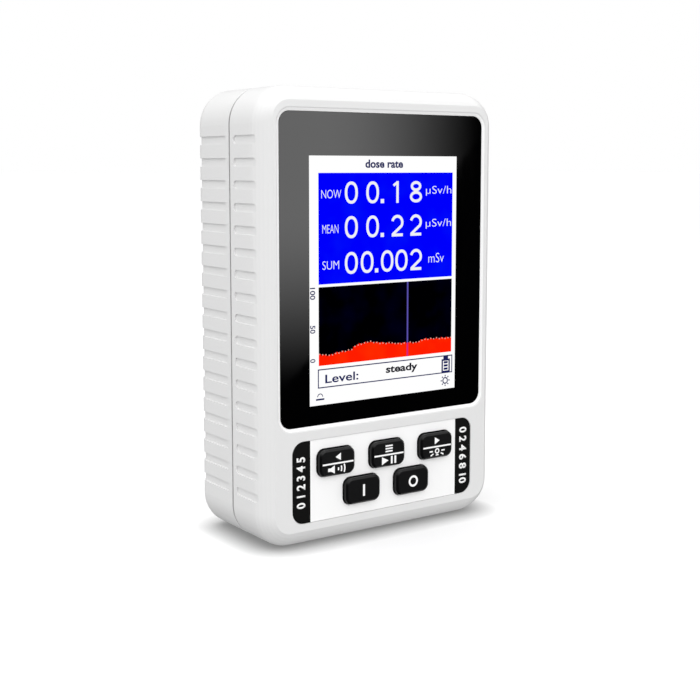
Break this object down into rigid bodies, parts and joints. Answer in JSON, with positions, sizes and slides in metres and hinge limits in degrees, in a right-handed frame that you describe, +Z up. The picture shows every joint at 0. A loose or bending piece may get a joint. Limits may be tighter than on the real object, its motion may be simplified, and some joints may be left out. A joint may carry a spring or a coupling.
{
  "type": "geiger counter",
  "caption": "Handheld radiation meter: a two-shell rounded box with a tall glossy display window over a keypad of small black push keys and grip grooves down both sides.",
  "frame": {"origin": "middle of the bottom of the object's box, on the surface it stands on; the plane Y = 0 is the seam between the two shells", "axes": "+Z up along the case's height, +X to the right seen from the front, -Y out of the display and keys, +Y out of the back"},
  "size_m": [0.077, 0.0364, 0.12],
  "materials": {
    "case_plastic": "satin off-white moulded plastic with a very fine spark-eroded grain",
    "lens_black": "polished acrylic, printed black behind",
    "gasket_black": "black foam adhesive tape",
    "panel_glass": "display panel glass",
    "tray_metal": "pressed tray behind the display",
    "foam_grey": "closed-cell foam",
    "flex_amber": "amber polyimide film",
    "connector_plastic": "natural nylon",
    "overlay_white": "bright white printed plate with black ends",
    "key_black": "satin black moulded plastic with white printed signs",
    "plunger_black": "moulded black plastic",
    "switch_body": "moulded switch body",
    "board_green": "green solder mask on glass-fibre board",
    "screw_steel": "zinc-plated steel",
    "port_steel": "stamped stainless steel",
    "tongue_black": "black moulded insulator",
    "tube_glass": "clear drawn glass",
    "cathode_metal": "thin metal sleeve",
    "anode_steel": "drawn wire",
    "brass": "turned and pressed brass",
    "ferrite": "sintered dark grey ferrite",
    "copper_winding": "enamelled copper wire",
    "capacitor_red": "dipped red resin",
    "chip_black": "black moulded epoxy",
    "crystal_can": "drawn metal can",
    "battery_foil": "laminated foil pouch",
    "lead_red": "red insulation",
    "lead_black": "black insulation"
  },
  "bodies": {
    "case": {"front_shell": "case_plastic", "rear_shell": "case_plastic", "display_lens": "lens_black", "lens_gasket": "gasket_black", "display_panel": "panel_glass", "backlight_tray": "tray_metal", "display_foam_strips": "foam_grey", "battery_foam": "foam_grey", "display_flex": "flex_amber", "display_connector": "connector_plastic", "battery_socket": "connector_plastic", "battery_plug": "connector_plastic", "keypad_overlay": "overlay_white", "key_switches": "switch_body", "main_board": "board_green", "case_screws": "screw_steel", "board_screws": "screw_steel", "charge_port": "port_steel", "charge_port_tongue": "tongue_black", "detector_tube_glass": "tube_glass", "tube_cathode": "cathode_metal", "tube_anode_wire": "anode_steel", "tube_end_caps": "brass", "tube_clips": "brass", "transformer_core": "ferrite", "transformer_winding": "copper_winding", "high_voltage_capacitor": "capacitor_red", "microcontroller": "chip_black", "rectifier_diodes": "chip_black", "buzzer": "chip_black", "clock_crystal": "crystal_can", "battery": "battery_foil", "battery_lead_red": "lead_red", "battery_lead_black": "lead_black"},
    "sound_button": {"sound_key": "key_black", "sound_plunger": "plunger_black"},
    "play_button": {"play_key": "key_black", "play_plunger": "plunger_black"},
    "light_button": {"light_key": "key_black", "light_plunger": "plunger_black"},
    "on_button": {"on_key": "key_black", "on_plunger": "plunger_black"},
    "off_button": {"off_key": "key_black", "off_plunger": "plunger_black"}
  },
  "joints": [
    {"name": "sound_press", "type": "slide", "parent": "case", "child": "sound_button", "axis": [0, 1, 0], "range_m": [0, 0.0008], "stiffness_N_per_m": 150, "springref_m": -0.001},
    {"name": "play_press", "type": "slide", "parent": "case", "child": "play_button", "axis": [0, 1, 0], "range_m": [0, 0.0008], "stiffness_N_per_m": 150, "springref_m": -0.001},
    {"name": "light_press", "type": "slide", "parent": "case", "child": "light_button", "axis": [0, 1, 0], "range_m": [0, 0.0008], "stiffness_N_per_m": 150, "springref_m": -0.001},
    {"name": "on_press", "type": "slide", "parent": "case", "child": "on_button", "axis": [0, 1, 0], "range_m": [0, 0.0008], "stiffness_N_per_m": 150, "springref_m": -0.001},
    {"name": "off_press", "type": "slide", "parent": "case", "child": "off_button", "axis": [0, 1, 0], "range_m": [0, 0.0008], "stiffness_N_per_m": 150, "springref_m": -0.001}
  ]
}
